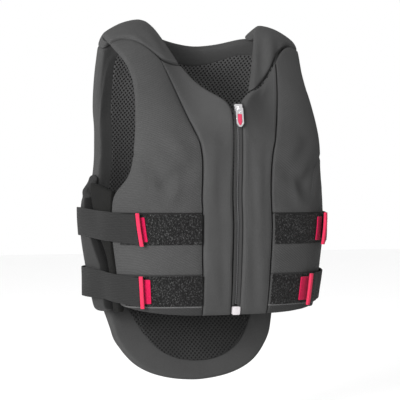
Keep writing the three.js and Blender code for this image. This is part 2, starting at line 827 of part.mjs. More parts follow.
function pullerOutline(inset) {
  const half = pullerWidth / 2 - inset;
  const top = inset > 0 ? -pullerSlotLength - pullerRim : hingeBar / 2;
  const bottom = -pullerLength + inset;
  return [
    [-half, top], [-half, bottom + pullerPoint], [-half * 0.35, bottom],
    [half * 0.35, bottom], [half, bottom + pullerPoint], [half, top],
  ];
}

function pullerPieces() {
  const frame = roundedOutline(pullerOutline(0), pullerRound);
  const slot = new THREE.Path();
  const slotHalf = bridgeWidth / 2 + pullerSlotGap;
  slot.moveTo(-slotHalf, -hingeBar / 2);
  slot.lineTo(slotHalf, -hingeBar / 2);
  slot.lineTo(slotHalf, -pullerSlotLength);
  slot.lineTo(-slotHalf, -pullerSlotLength);
  slot.closePath();
  frame.holes.push(slot);
  frame.holes.push(roundedOutline(pullerOutline(pullerRim), insertRound));
  const lift = sliderLift + bridgeHole / 2 - pullerThickness / 2;
  const puller = addPiece('zip_puller', plate(frame, pullerThickness), colours.metal, 0.35, 0.8);
  onZip(puller, sliderLevel, lift);
  const insertShape = roundedOutline(pullerOutline(pullerRim + insertGap), insertRound);
  const insertPlate = plate(insertShape, pullerThickness - insertThinner);
  const insert = addPiece('puller_insert', insertPlate, colours.bright, 0.6, 0);
  onZip(insert, sliderLevel, lift);
}

function zipStop() {
  const half = stopWidth / 2;
  const outline = roundedOutline([
    [-half, -stopHeight / 2], [half, -stopHeight / 2], [half, stopHeight / 2], [-half, stopHeight / 2],
  ], stopRound);
  const mesh = addPiece('zip_stop', plate(outline, stopThickness), colours.metal, 0.5, 0.5);
  onZip(mesh, -hemDrop + stopHeight / 2 + stopGap, sliderLift - stopThickness);
}

const wasm = await Module();
wasm.setup();

zip();
slider();
pullerPieces();
zipStop();
sides.forEach((side) => {
  frontCentre(side);
  frontSide(side);
  shoulder(side);
  sideGusset(side);
  backWing(side);
  closures.forEach((closure) => {
    landing(side, closure);
    strap(side, closure);
    strapEnd(side, closure);
  });
});
backPanel();
backLining();

export default vest;
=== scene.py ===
# %% [markdown]
# # A padded riding vest
#
# The vest is kept in the form that it has on a rider. It has foam pads in a matt stretch cover,
# a zip down the front, four elastic straps that close on hook tape, and a tail over the lower
# back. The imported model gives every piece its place, and this script gives each piece the soft
# form and the finish of the real one.

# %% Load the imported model
import math

import bmesh
import bpy
import numpy as np
from mathutils import Matrix, Vector
from mathutils.bvhtree import BVHTree


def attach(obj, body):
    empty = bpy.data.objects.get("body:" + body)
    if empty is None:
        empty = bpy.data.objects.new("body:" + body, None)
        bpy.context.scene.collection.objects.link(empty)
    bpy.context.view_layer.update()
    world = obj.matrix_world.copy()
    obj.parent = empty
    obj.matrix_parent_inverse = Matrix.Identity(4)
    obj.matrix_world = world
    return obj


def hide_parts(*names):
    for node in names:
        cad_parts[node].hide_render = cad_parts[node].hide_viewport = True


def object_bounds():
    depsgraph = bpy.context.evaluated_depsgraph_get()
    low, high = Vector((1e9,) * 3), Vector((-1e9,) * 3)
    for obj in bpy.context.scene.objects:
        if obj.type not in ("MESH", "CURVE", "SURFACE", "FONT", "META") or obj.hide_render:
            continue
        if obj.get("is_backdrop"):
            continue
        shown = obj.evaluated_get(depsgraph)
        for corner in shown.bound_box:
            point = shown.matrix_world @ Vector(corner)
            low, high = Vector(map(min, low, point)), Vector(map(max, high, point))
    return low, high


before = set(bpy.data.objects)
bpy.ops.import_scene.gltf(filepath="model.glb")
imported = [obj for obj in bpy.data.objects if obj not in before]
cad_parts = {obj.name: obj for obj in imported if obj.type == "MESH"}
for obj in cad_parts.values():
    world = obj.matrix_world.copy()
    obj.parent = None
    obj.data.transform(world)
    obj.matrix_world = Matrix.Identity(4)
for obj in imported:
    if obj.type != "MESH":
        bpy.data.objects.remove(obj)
cad_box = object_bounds()
SIDES = {"right": -1, "left": 1}
MM = 0.001
print("CAD nodes:", len(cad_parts))

# %% [markdown]
# ## Camera
#
# The photograph was taken from the front, a little to the wearer's right, with a long lens at
# the height of the chest. The camera stands 2.13 m from the middle of the vest. A small shift
# puts the vest where it is in the picture, without a turn of the camera.

# %% Camera
CAMERA_DISTANCE = 2.13
CAMERA_TURN = math.radians(-23)
EYE_LEVEL = -0.249
AIM_BACK = -0.021

scene = bpy.context.scene
scene.view_settings.view_transform = "Standard"
camera_data = bpy.data.cameras.new("camera")
camera_data.lens = 127.7
camera_data.sensor_width = 36
camera_data.shift_x = -0.015
camera_data.shift_y = -0.005
camera = bpy.data.objects.new("camera", camera_data)
camera.location = (
    math.sin(CAMERA_TURN) * CAMERA_DISTANCE,
    AIM_BACK - math.cos(CAMERA_TURN) * CAMERA_DISTANCE,
    EYE_LEVEL,
)
camera.rotation_euler = (math.radians(90), 0, CAMERA_TURN)
scene.collection.objects.link(camera)
scene.camera = camera
print("camera at", [round(c, 3) for c in camera.location])

# %% [markdown]
# ## Floor and light
#
# The vest hangs from its shoulders, so the floor is well below it and only catches a soft
# shadow. One large soft lamp at the left lights the chest, as in the photograph, where the right
# side of the picture falls off to a darker grey. More lamps would flatten the folds, so the
# white world around fills in the rest.

# %% Floor and light
FLOOR_LEVEL = -0.62
CHEST_MIDDLE = Vector((0, 0, -0.25))


def select_only(*objects):
    bpy.ops.object.select_all(action="DESELECT")
    for one in objects:
        one.select_set(True)
    bpy.context.view_layer.objects.active = objects[0]


bpy.ops.object.select_all(action="DESELECT")
bpy.ops.mesh.primitive_plane_add(size=14, location=(0, 0, FLOOR_LEVEL))
floor = bpy.context.active_object
floor.name = "floor"
floor_material = bpy.data.materials.new("floor_paper")
floor_material.use_nodes = True
floor_shader = floor_material.node_tree.nodes["Principled BSDF"]
floor_shader.inputs["Base Color"].default_value = (0.93, 0.93, 0.93, 1)
floor_shader.inputs["Roughness"].default_value = 0.9
floor.data.materials.append(floor_material)
floor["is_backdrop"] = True

world = bpy.data.worlds.new("studio")
world.use_nodes = True
world.node_tree.nodes["Background"].inputs["Color"].default_value = (1, 1, 1, 1)
world.node_tree.nodes["Background"].inputs["Strength"].default_value = 1.0
scene.world = world


def soft_lamp(name, place, size, power):
    """A square area lamp that looks at the middle of the vest."""
    lamp_data = bpy.data.lights.new(name, "AREA")
    lamp_data.size = size
    lamp_data.energy = power
    lamp = bpy.data.objects.new(name, lamp_data)
    lamp.location = place
    toward = CHEST_MIDDLE - Vector(place)
    lamp.rotation_euler = toward.to_track_quat("-Z", "Y").to_euler()
    scene.collection.objects.link(lamp)


soft_lamp("key_lamp", place=(-2.1, -1.7, 0.15), size=1.1, power=190)
print("lamps:", len(bpy.data.lights))

# %% [markdown]
# ## Shared surface effects
#
# The cover is a knitted fabric. Seen close, it has a fine grain, a slow change of tone, and a
# little lint. These are made once, as shader node groups, and every fabric sets its own scale.
# A group gives out only masks and heights, and each material decides what to do with them.

# %% Node helpers
def new_group(name, inputs, outputs):
    """A shader node group with number inputs, given as name: default, and number outputs."""
    group = bpy.data.node_groups.new(name, "ShaderNodeTree")
    for label, default in inputs.items():
        socket = group.interface.new_socket(label, in_out="INPUT", socket_type="NodeSocketFloat")
        socket.default_value = default
    for label in outputs:
        group.interface.new_socket(label, in_out="OUTPUT", socket_type="NodeSocketFloat")
    entry = group.nodes.new("NodeGroupInput")
    leave = group.nodes.new("NodeGroupOutput")
    return group, entry, leave


def add_node(tree, kind, **values):
    """A node with its options, and with its sockets named as in_Name=value."""
    node = tree.nodes.new(kind)
    for key, value in values.items():
        if key.startswith("in_"):
            node.inputs[key[3:].replace("_", " ")].default_value = value
        else:
            setattr(node, key, value)
    return node


def math_node(tree, operation, first, second=None, third=None):
    """A Math node on sockets or numbers, and its output."""
    node = tree.nodes.new("ShaderNodeMath")
    node.operation = operation
    for slot, value in enumerate((first, second, third)):
        if value is None:
            continue
        if isinstance(value, (int, float)):
            node.inputs[slot].default_value = value
        else:
            tree.links.new(value, node.inputs[slot])
    return node.outputs[0]


# %% [markdown]
# The grain is fine noise, the change of tone is coarse noise, and the lint is a few specks: the
# middles of Voronoi cells, kept only where a second noise is high. A picture of cloth could do
# the same, but noise on Object coordinates needs no file and has no seam.

# %% Fabric grain group
grain, grain_in, grain_out = new_group(
    "fabric_grain", {"Size": 700.0, "Patch Size": 14.0}, ["Height", "Tone", "Lint"]
)
grain_place = add_node(grain, "ShaderNodeTexCoord")
fine = add_node(grain, "ShaderNodeTexNoise", in_Detail=3.0, in_Roughness=0.65)
grain.links.new(grain_place.outputs["Object"], fine.inputs["Vector"])
grain.links.new(grain_in.outputs["Size"], fine.inputs["Scale"])
patch = add_node(grain, "ShaderNodeTexNoise", in_Detail=4.0, in_Roughness=0.55)
grain.links.new(grain_place.outputs["Object"], patch.inputs["Vector"])
grain.links.new(grain_in.outputs["Patch Size"], patch.inputs["Scale"])
specks = add_node(grain, "ShaderNodeTexVoronoi", feature="F1", in_Scale=330.0)
grain.links.new(grain_place.outputs["Object"], specks.inputs["Vector"])
near_speck = math_node(grain, "LESS_THAN", specks.outputs["Distance"], 0.12)
rare = add_node(grain, "ShaderNodeTexNoise", in_Scale=60.0, in_Detail=1.0)
grain.links.new(grain_place.outputs["Object"], rare.inputs["Vector"])
is_rare = math_node(grain, "GREATER_THAN", rare.outputs["Fac"], 0.66)
grain.links.new(fine.outputs["Fac"], grain_out.inputs["Height"])
grain.links.new(patch.outputs["Fac"], grain_out.inputs["Tone"])
grain.links.new(math_node(grain, "MULTIPLY", near_speck, is_rare), grain_out.inputs["Lint"])
print("group:", grain.name)

# %% [markdown]
# Ribs are rows of small ridges. The side pads have slanting ones, the straps and the zip tape
# have straight ones. A wave over one direction of the object's own space makes them, and a
# little noise in its place keeps them from looking drawn with a ruler.

# %% Rib group
ribs, ribs_in, ribs_out = new_group(
    "fabric_ribs", {"X": 1.0, "Y": 0.0, "Z": 1.0, "Per Metre": 400.0, "Wander": 0.0004}, ["Height"]
)
ribs_place = add_node(ribs, "ShaderNodeTexCoord")
ribs_split = add_node(ribs, "ShaderNodeSeparateXYZ")
ribs.links.new(ribs_place.outputs["Object"], ribs_split.inputs[0])
along = None
for letter in "XYZ":
    term = math_node(ribs, "MULTIPLY", ribs_split.outputs[letter], ribs_in.outputs[letter])
    along = term if along is None else math_node(ribs, "ADD", along, term)
wander = add_node(ribs, "ShaderNodeTexNoise", in_Scale=45.0, in_Detail=2.0)
ribs.links.new(ribs_place.outputs["Object"], wander.inputs["Vector"])
moved = math_node(ribs, "MULTIPLY", wander.outputs["Fac"], ribs_in.outputs["Wander"])
along = math_node(ribs, "ADD", along, moved)
phase = math_node(ribs, "MULTIPLY", along, ribs_in.outputs["Per Metre"])
phase = math_node(ribs, "MULTIPLY", phase, 2 * math.pi)
wave = math_node(ribs, "SINE", phase)
ribs.links.new(math_node(ribs, "MULTIPLY_ADD", wave, 0.5, 0.5), ribs_out.inputs["Height"])
print("group:", ribs.name)

# %% [markdown]
# The perforated lining has small round holes in staggered rows. Two square grids of dots, one
# shifted by half a step, give that pattern. It lies in the X and Z directions, because the
# lining faces the front almost everywhere.

# %% Perforation group
holes, holes_in, holes_out = new_group(
    "staggered_holes", {"Step": 0.0052, "Radius": 0.27}, ["Hole"]
)
holes_place = add_node(holes, "ShaderNodeTexCoord")
holes_split = add_node(holes, "ShaderNodeSeparateXYZ")
holes.links.new(holes_place.outputs["Object"], holes_split.inputs[0])


def dots(shift):
    """Distance to the nearest dot of a square grid, in steps."""
    parts = []
    for letter in "XZ":
        scaled = math_node(holes, "DIVIDE", holes_split.outputs[letter], holes_in.outputs["Step"])
        cell = math_node(holes, "FRACT", math_node(holes, "ADD", scaled, 100 + shift))
        centred = math_node(holes, "SUBTRACT", cell, 0.5)
        parts.append(math_node(holes, "MULTIPLY", centred, centred))
    return math_node(holes, "SQRT", math_node(holes, "ADD", parts[0], parts[1]))


nearest = math_node(holes, "MINIMUM", dots(0.0), dots(0.5))
edge_start = math_node(holes, "SUBTRACT", holes_in.outputs["Radius"], nearest)
softened = math_node(holes, "MULTIPLY", edge_start, 12.0)
hole_mask = math_node(holes, "MINIMUM", math_node(holes, "MAXIMUM", softened, 0.0), 1.0)
holes.links.new(hole_mask, holes_out.inputs["Hole"])
print("group:", holes.name)

# %% [markdown]
# ## Fabrics and metals
#
# Each finish starts from a Principled shader with its constant values on its own sockets. The
# helper takes the groups above and joins them: tone and lint vary the colour, grain and ribs
# feed a Bump node. Fabric also has sheen, the faint light that fibres catch at a grazing angle.

# %% Material helpers
def grey(tone):
    return (tone, tone, tone)


def shaded(colour, share):
    """The same colour, with each part multiplied by share."""
    return tuple(c * share for c in colour)


def new_finish(name, colour, roughness, metallic=0.0, sheen=0.0, coat=0.0, specular=0.5):
    """A material with a Principled shader, and its node tree and shader."""
    material = bpy.data.materials.new(name)
    material.use_nodes = True
    shader = material.node_tree.nodes["Principled BSDF"]
    shader.inputs["Base Color"].default_value = (*colour, 1)
    shader.inputs["Roughness"].default_value = roughness
    shader.inputs["Metallic"].default_value = metallic
    shader.inputs["Sheen Weight"].default_value = sheen
    shader.inputs["Sheen Roughness"].default_value = 0.5
    shader.inputs["Specular IOR Level"].default_value = specular
    shader.inputs["Coat Weight"].default_value = coat
    material.diffuse_color = (*colour, 1)
    return material, material.node_tree, shader


def use_group(tree, group, **values):
    """One of the shared groups in a material, with its own values."""
    node = tree.nodes.new("ShaderNodeGroup")
    node.node_tree = group
    for key, value in values.items():
        node.inputs[key.replace("_", " ")].default_value = value
    return node


def mix_colours(tree, share, first, second):
    """A colour between two, by a mask from 0 to 1. Either may be a socket."""
    node = tree.nodes.new("ShaderNodeMix")
    node.data_type = "RGBA"
    tree.links.new(share, node.inputs[0])
    for slot, value in ((6, first), (7, second)):
        if isinstance(value, tuple):
            node.inputs[slot].default_value = (*value, 1)
        else:
            tree.links.new(value, node.inputs[slot])
    return node.outputs[2]


def stretch(tree, value, low, high):
    """Maps low..high of a mask to 0..1, clamped."""
    node = tree.nodes.new("ShaderNodeMapRange")
    node.inputs["From Min"].default_value = low
    node.inputs["From Max"].default_value = high
    tree.links.new(value, node.inputs["Value"])
    return node.outputs["Result"]


def bump(tree, shader, height, distance):
    """Feeds a height, in shares of distance, to the shader's normal."""
    node = tree.nodes.new("ShaderNodeBump")
    node.inputs["Distance"].default_value = distance
    node.inputs["Strength"].default_value = 1.0
    tree.links.new(height, node.inputs["Height"])
    tree.links.new(node.outputs["Normal"], shader.inputs["Normal"])


def weighted(tree, mask, share):
    """A mask made weaker, so that its colour only shows through in part."""
    return math_node(tree, "MULTIPLY", mask, share)


# %% [markdown]
# Every cover gets its colour in the same steps: two tones, lighter fibres on the high spots of
# the grain, lint, darker valleys between ribs as painted shade, and last the painted shade and
# painted highlights of its own place. One function does that, so that only numbers tell one
# cover from another.

# %% Fabric helper
FIBRE_GAIN = 2.2
FIBRE_LIFT = 0.008
FIBRE_SHARE = 0.30
GRAIN_HEIGHT = 0.7
VALLEY_SHADE = 0.4


def rib_rows(per_metre, height, dark, wander=0.0003, way=(0.0, 0.0, 1.0)):
    """Ribs of a fabric: how close, how high, how dark the painted shade between them, and the way across
    them.
    """
    x, y, z = way
    place = {"X": x, "Y": y, "Z": z, "Per_Metre": per_metre, "Wander": wander}
    return {"place": place, "height": height, "dark": dark}


def fabric(
    name, colour, shade, grain_size=900.0, relief=0.0005, lint=0.25, rib=None, sheen=0.02, marks=()
):
    """A cover fabric. Its deep tone is its colour times shade, and relief is in metres.

    Each mark is a function that adds a mask to the node tree, and the colour to mix in there: the
    painted shade or painted highlight of one place.
    """
    material, tree, shader = new_finish(name, colour, 0.88, sheen=sheen, specular=0.08)
    cloth = use_group(tree, grain, Size=grain_size, Patch_Size=14.0)
    fibre = tuple(c * FIBRE_GAIN + FIBRE_LIFT for c in colour)
    tone = stretch(tree, cloth.outputs["Tone"], 0.32, 0.68)
    cover = mix_colours(tree, tone, shaded(colour, shade), colour)
    high_spots = stretch(tree, cloth.outputs["Height"], 0.3, 0.75)
    cover = mix_colours(tree, weighted(tree, high_spots, FIBRE_SHARE), cover, fibre)
    cover = mix_colours(tree, weighted(tree, cloth.outputs["Lint"], lint), cover, fibre)
    height = math_node(tree, "MULTIPLY", cloth.outputs["Height"], GRAIN_HEIGHT)
    if rib:
        ridge = use_group(tree, ribs, **rib["place"])
        height = math_node(tree, "MULTIPLY_ADD", ridge.outputs["Height"], rib["height"], height)
        # The valleys between ribs are painted darker: painted shade.
        valley = math_node(tree, "SUBTRACT", 1.0, ridge.outputs["Height"])
        valley = weighted(tree, valley, rib["dark"])
        cover = mix_colours(tree, valley, cover, shaded(colour, VALLEY_SHADE))
    # Each mark mixes in painted shade or a painted highlight of one place.
    for mask_of, tint in marks:
        cover = mix_colours(tree, mask_of(tree), cover, tint)
    tree.links.new(cover, shader.inputs["Base Color"])
    bump(tree, shader, height, relief)
    return material


# %% [markdown]
# Some tones belong to a place and not to the cloth. They are painted light and shade: painted
# shade under a bulging pad and on the band of the hem, a painted highlight on the folded edge of
# the hem, and painted shade on the edge of a wing where it goes under the gusset. They are a
# millimetre or two wide, so as geometry they would need very fine meshes. Here each is a mask
# made from the Z or Y of the object's own space.

# %% Painted shade and highlights on the fabrics
HEM_LEVEL = -0.4034
HEM_BAND_STRENGTH = 0.5
HEM_EDGE_STRENGTH = 0.7
TAPE_TOPS = ((-0.2708, 0.85), (-0.3579, 0.5))
WING_EDGE_SLOPE = 0.689
WING_EDGE_START = 0.202
WING_EDGE_AT_WAIST = -0.036


def place_in(tree):
    """Sockets for X, Y and Z in the object's own space."""
    place = add_node(tree, "ShaderNodeTexCoord")
    split = add_node(tree, "ShaderNodeSeparateXYZ")
    tree.links.new(place.outputs["Object"], split.inputs[0])
    return split.outputs


def near_level(tree, height, level, outer, inner):
    """A mask that is full within inner metres of a level, and none past outer metres."""
    gap = math_node(tree, "ABSOLUTE", math_node(tree, "SUBTRACT", height, level))
    return stretch(tree, gap, outer, inner)


def hem_band_shade(tree):
    """Painted shade on the band below the lower hook tape."""
    below = stretch(tree, place_in(tree)["Z"], HEM_LEVEL, HEM_LEVEL - 0.0008)
    return weighted(tree, below, HEM_BAND_STRENGTH)


def hem_edge_highlight(tree):
    """A painted highlight on the thin folded edge along the top of that band."""
    edge = near_level(tree, place_in(tree)["Z"], HEM_LEVEL, 0.0011, 0.0003)
    return weighted(tree, edge, HEM_EDGE_STRENGTH)


def tape_shade(tree):
    """Painted shade along the top of each hook tape, where the pad bulges over it."""
    height = place_in(tree)["Z"]
    creases = []
    for level, strength in TAPE_TOPS:
        creases.append(weighted(tree, near_level(tree, height, level, 0.0016, 0.0006), strength))
    return math_node(tree, "MAXIMUM", *creases)


def wing_edge_shade(tree):
    """Painted shade on the front edge of a back wing, which slants forward from the armhole to the
    waist.
    """
    place = place_in(tree)
    slant = math_node(tree, "MULTIPLY_ADD", place["Z"], WING_EDGE_SLOPE, WING_EDGE_START)
    edge = math_node(tree, "MAXIMUM", slant, WING_EDGE_AT_WAIST)
    return stretch(tree, math_node(tree, "SUBTRACT", place["Y"], edge), 0.011, 0.006)


# %% [markdown]
# The vest has one charcoal stretch cloth, smooth on the middle pads and with a fine slanting rib
# on the side pads. The underarm knit is nearly black. Straps, tabs, bindings and zip tape are
# woven, with ribs along the band. The bindings are a lighter copy of the tabs' pink: a painted
# highlight. The greys are low, because a single strong lamp lights them.

# %% Cover fabrics
SLANT = math.radians(30)
SLANT_WAY = (math.sin(SLANT), 0.3, math.cos(SLANT))
smooth_cover = fabric("smooth_stretch", grey(0.0240), 0.84)
# The wing's front edge is painted near black: painted shade where it goes under the gusset.
wing_cover = fabric("wing_stretch", grey(0.0130), 0.84, marks=[(wing_edge_shade, grey(0.004))])
# The side pads get painted shade along the hook tapes and on the hem band, and a painted highlight on
# the folded hem edge.
ribbed_cover = fabric(
    "slant_rib_stretch", grey(0.0235), 0.82,
    rib=rib_rows(330.0, height=0.5, dark=0.15, wander=0.0012, way=SLANT_WAY),
    marks=[(tape_shade, grey(0.003)), (hem_band_shade, grey(0.007)), (hem_edge_highlight, grey(0.075))],
)
gusset_cover = fabric(
    "side_gusset_knit", (0.0030, 0.0030, 0.0028), 0.7, grain_size=600.0, lint=0.05, sheen=0.0
)
elastic_cover = fabric(
    "elastic_webbing", grey(0.0095), 0.88, grain_size=1100.0, lint=0.1,
    rib=rib_rows(420.0, height=0.8, dark=0.35),
)
bright_cover = fabric(
    "bright_pink_webbing", (0.25, 0.0015, 0.028), 0.80, grain_size=800.0, lint=0.05, sheen=0.05,
    rib=rib_rows(560.0, height=0.7, dark=0.18),
)
# The binding's pink is lighter than the tab's: a painted highlight.
lit_pink_trim = fabric(
    "pink_trim_painted_highlight", (0.275, 0.012, 0.036), 0.86, grain_size=800.0, lint=0.0, sheen=0.05,
    rib=rib_rows(560.0, height=0.5, dark=0.12),
)
tape_cover = fabric(
    "zip_tape_weave", grey(0.026), 0.8, rib=rib_rows(700.0, height=0.9, dark=0.4, wander=0.0)
)
thread_cover = fabric("sewing_thread", grey(0.040), 0.8, grain_size=2500.0, relief=0.0001)
dark_thread = fabric("dark_sewing_thread", grey(0.010), 0.8, grain_size=2500.0, relief=0.0001)
print("materials so far:", len(bpy.data.materials))

# %% [markdown]
# The lining inside the back is a dark knit with rows of holes. Cutting thousands of holes would
# make a heavy mesh, so they are a mask: painted darker than the cloth, as painted shade inside
# each hole, and sunk by the bump, so that the light rakes their rims. The upper part is painted
# lighter, as painted light falling in at the neck.

# %% Perforated lining
HOLE_STEP = 0.0066
HOLE_DEPTH = -2.5
SHADED_BELOW = -0.26
LIT_ABOVE = -0.08

lining_cover, lining_tree, lining_shader = new_finish(
    "perforated_lining", grey(0.026), 0.85, sheen=0.02, specular=0.08
)
lining_cloth = use_group(lining_tree, grain, Size=900.0, Patch_Size=12.0)
lining_holes = use_group(lining_tree, holes, Step=HOLE_STEP, Radius=0.25)
lining_tone = stretch(lining_tree, lining_cloth.outputs["Tone"], 0.3, 0.7)
lining_knit = mix_colours(lining_tree, lining_tone, grey(0.011), grey(0.017))
# Painted light: the lining is lighter towards the neck.
lining_top = stretch(lining_tree, place_in(lining_tree)["Z"], SHADED_BELOW, LIT_ABOVE)
lining_lit = mix_colours(lining_tree, lining_top, lining_knit, grey(0.042))
# The holes are painted near black: painted shade inside them.
lining_dotted = mix_colours(lining_tree, lining_holes.outputs["Hole"], lining_lit, grey(0.003))
lining_tree.links.new(lining_dotted, lining_shader.inputs["Base Color"])
lining_height = math_node(lining_tree, "MULTIPLY", lining_holes.outputs["Hole"], HOLE_DEPTH)
lining_height = math_node(lining_tree, "ADD", lining_height, lining_cloth.outputs["Height"])
bump(lining_tree, lining_shader, lining_height, 0.0005)

# %% [markdown]
# Hook tape is nearly black, with a stubble of stiff loops. Cells of a Voronoi texture give each
# loop a lighter tip, a painted highlight, and noise makes the field uneven, as it gets in use.
# Real loops by the thousand would cost far more and look no different at this distance.

# %% Hook tape
LOOPS_PER_METRE = 430.0
LOOP_HEIGHT = 0.0012

hook_cover, hook_tree, hook_shader = new_finish(
    "hook_tape", grey(0.010), 0.8, sheen=0.02, specular=0.1
)
hook_place = add_node(hook_tree, "ShaderNodeTexCoord")
hook_cells = add_node(hook_tree, "ShaderNodeTexVoronoi", feature="F1", in_Scale=LOOPS_PER_METRE)
hook_tree.links.new(hook_place.outputs["Object"], hook_cells.inputs["Vector"])
hook_fuzz = add_node(
    hook_tree, "ShaderNodeTexNoise", in_Scale=LOOPS_PER_METRE, in_Detail=3.0, in_Roughness=0.75
)
hook_tree.links.new(hook_place.outputs["Object"], hook_fuzz.inputs["Vector"])
hook_tips = stretch(hook_tree, hook_fuzz.outputs["Fac"], 0.47, 0.66)
hook_near = stretch(hook_tree, hook_cells.outputs["Distance"], 0.75, 0.1)
# The loop tips are painted lighter: painted highlights on a near-black base.
hook_light = math_node(hook_tree, "MULTIPLY", hook_tips, hook_near)
hook_colour = mix_colours(hook_tree, hook_light, grey(0.0025), grey(0.056))
hook_tree.links.new(hook_colour, hook_shader.inputs["Base Color"])
hook_height = math_node(hook_tree, "ADD", hook_fuzz.outputs["Fac"], hook_near)
bump(hook_tree, hook_shader, hook_height, LOOP_HEIGHT)

# %% [markdown]
# The slider and the frame of the puller are polished metal with fine rubbing marks. The teeth
# are a satin plastic, the stop at the foot of the zip is moulded in a silver one, and the
# puller holds a pink inlay. Edge wear is left out, because these parts are new.

# %% Metal and plastic
rubbed, rubbed_in, rubbed_out = new_group("rubbing_marks", {"Size": 260.0}, ["Mark"])
rubbed_place = add_node(rubbed, "ShaderNodeTexCoord")
rubbed_noise = add_node(rubbed, "ShaderNodeTexNoise", in_Detail=5.0, in_Roughness=0.7)
rubbed.links.new(rubbed_place.outputs["Object"], rubbed_noise.inputs["Vector"])
rubbed.links.new(rubbed_in.outputs["Size"], rubbed_noise.inputs["Scale"])
rubbed.links.new(rubbed_noise.outputs["Fac"], rubbed_out.inputs["Mark"])


def hard_finish(name, colour, low, high, metallic, coat=0.0):
    """A hard surface whose gloss varies between two roughness values with rubbing marks."""
    material, tree, shader = new_finish(name, colour, (low + high) / 2, metallic, coat=coat)
    marks = use_group(tree, rubbed, Size=260.0)
    spread_marks = stretch(tree, marks.outputs["Mark"], 0.35, 0.7)
    rough = math_node(tree, "MULTIPLY_ADD", spread_marks, high - low, low)
    tree.links.new(rough, shader.inputs["Roughness"])
    dulled = mix_colours(tree, spread_marks, colour, shaded(colour, 0.86))
    tree.links.new(dulled, shader.inputs["Base Color"])
    bump(tree, shader, marks.outputs["Mark"], 0.00006)
    return material


polished_metal = hard_finish("polished_zip_metal", (0.62, 0.61, 0.62), 0.22, 0.42, 1.0)
tooth_plastic = hard_finish("tooth_plastic", (0.030, 0.030, 0.031), 0.32, 0.5, 0.0)
silver_plastic = hard_finish("silver_plastic", (0.36, 0.34, 0.35), 0.28, 0.45, 0.35, coat=0.2)
insert_plastic = hard_finish("pink_insert_plastic", (0.31, 0.010, 0.042), 0.3, 0.45, 0.0, coat=0.3)
print("materials so far:", len(bpy.data.materials))

# %% [markdown]
# ## The form of the body
#
# Seams and stitches have to run over the pads, so this script needs to know the vest's form.
# A section round the body is a rounded rectangle, and a place on the form is a turn (0 at the
# front, 90 at the wearer's left, 180 at the back) and a level, which is below zero. Only the
# part below the chest is needed here, because that is where stitches go round the side.

# %% The form, in millimetres
CHEST_HALF_WIDTH = 173
FRONT_DEPTH = 131
BACK_DEPTH = 115
BODY_SHIFT = 12
CORNER_POWER = 3.3
CHEST_DROP = 170
TAIL_DROP = 528
SECTION_DROPS = [0.322, 0.40, 0.46, 0.549, 0.682, 0.788, 0.871, 1.0]
SECTIONS = {
    "width": [1.0, 1.0, 1.005, 1.02, 0.98, 0.94, 0.905, 0.86],
    "front": [0.992, 0.995, 1.04, 1.14, 1.12, 1.06, 1.0, 0.90],
    "back": [1.017, 1.05, 1.08, 1.0, 0.79, 0.46, 0.32, 0.17],
    "shift": [1.0, 0.9, 0.2, -0.6, -0.75, -0.7, -0.5, -0.2],
}


def section(key, level):
    return float(np.interp(-level / TAIL_DROP, SECTION_DROPS, SECTIONS[key]))


def half_width(level):
    return CHEST_HALF_WIDTH * section("width", min(level, -CHEST_DROP))


def lower_point(turn, level):
    """A point of the form at or below the chest, in metres."""
    angle = math.radians(turn)
    ahead = math.cos(angle)
    x = half_width(level) * math.copysign(abs(math.sin(angle)) ** (2 / CORNER_POWER), math.sin(angle))
    depth = FRONT_DEPTH * section("front", level) if ahead > 0 else BACK_DEPTH * section("back", level)
    lean = math.copysign(abs(ahead) ** (2 / CORNER_POWER), ahead)
    y = -BODY_SHIFT * section("shift", level) - depth * lean
    return Vector((x, y, level)) * MM


def turn_of_width(x, level):
    share = min(1.0, abs(x) / half_width(level))
    return math.copysign(math.degrees(math.asin(share ** (CORNER_POWER / 2))), x)


print("front of the waist:", [round(c, 3) for c in lower_point(0, -300)])

# %% [markdown]
# ## Pads
#
# A pad is foam in a tight cover. The model has its true outline and thickness, but with flat
# facets. A copy of it is merged, its triangles are paired to quads, and a Subdivision Surface
# rounds it. Then Blender's Cloth blows it up a little from inside, so that the cover stretches
# over the foam. What the cloth may move is capped, because foam doesn't swell like a balloon.

# %% Copy a pad from the model
MERGE_WITHIN = 0.00005
PAIR_ANGLE = math.radians(70)


def copy_of(node, name):
    """A new object with the merged mesh of a CAD node, at the origin."""
    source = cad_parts[node]
    mesh = source.data.copy()
    mesh.materials.clear()
    piece = bpy.data.objects.new(name, mesh)
    scene.collection.objects.link(piece)
    select_only(piece)
    bpy.ops.object.mode_set(mode="EDIT")
    bpy.ops.mesh.select_all(action="SELECT")
    bpy.ops.mesh.remove_doubles(threshold=MERGE_WITHIN)
    bpy.ops.mesh.tris_convert_to_quads(face_threshold=PAIR_ANGLE, shape_threshold=PAIR_ANGLE)
    bpy.ops.mesh.normals_make_consistent(inside=False)
    bpy.ops.object.mode_set(mode="OBJECT")
    return piece


def apply_modifier(piece, modifier):
    select_only(piece)
    bpy.ops.object.modifier_apply(modifier=modifier.name)


def rounded(piece, levels):
    smoother = piece.modifiers.new("rounding", "SUBSURF")
    smoother.levels = levels
    smoother.render_levels = levels
    apply_modifier(piece, smoother)


def points_of(piece):
    flat = np.empty(len(piece.data.vertices) * 3)
    piece.data.vertices.foreach_get("co", flat)
    return flat.reshape(-1, 3)


def set_points(piece, points):
    piece.data.vertices.foreach_set("co", points.astype(np.float32).ravel())
    piece.data.update()


def normals_of(piece):
    flat = np.empty(len(piece.data.vertices) * 3)
    piece.data.vertices.foreach_get("normal", flat)
    return flat.reshape(-1, 3)


# %% [markdown]
# The cloth runs for a dozen frames with air pressed in from inside and no gravity. Its settings
# are those of a firm knit, which hardly stretches. The movement is read after the last frame,
# and whatever went further than the cap is brought back along its own way.

# %% Puff a pad with Cloth
PUFF_FRAMES = 12
PUFF_PRESSURE = 4.0
PUFF_SLACK = 0.004
PUFF_CAP = 0.0007


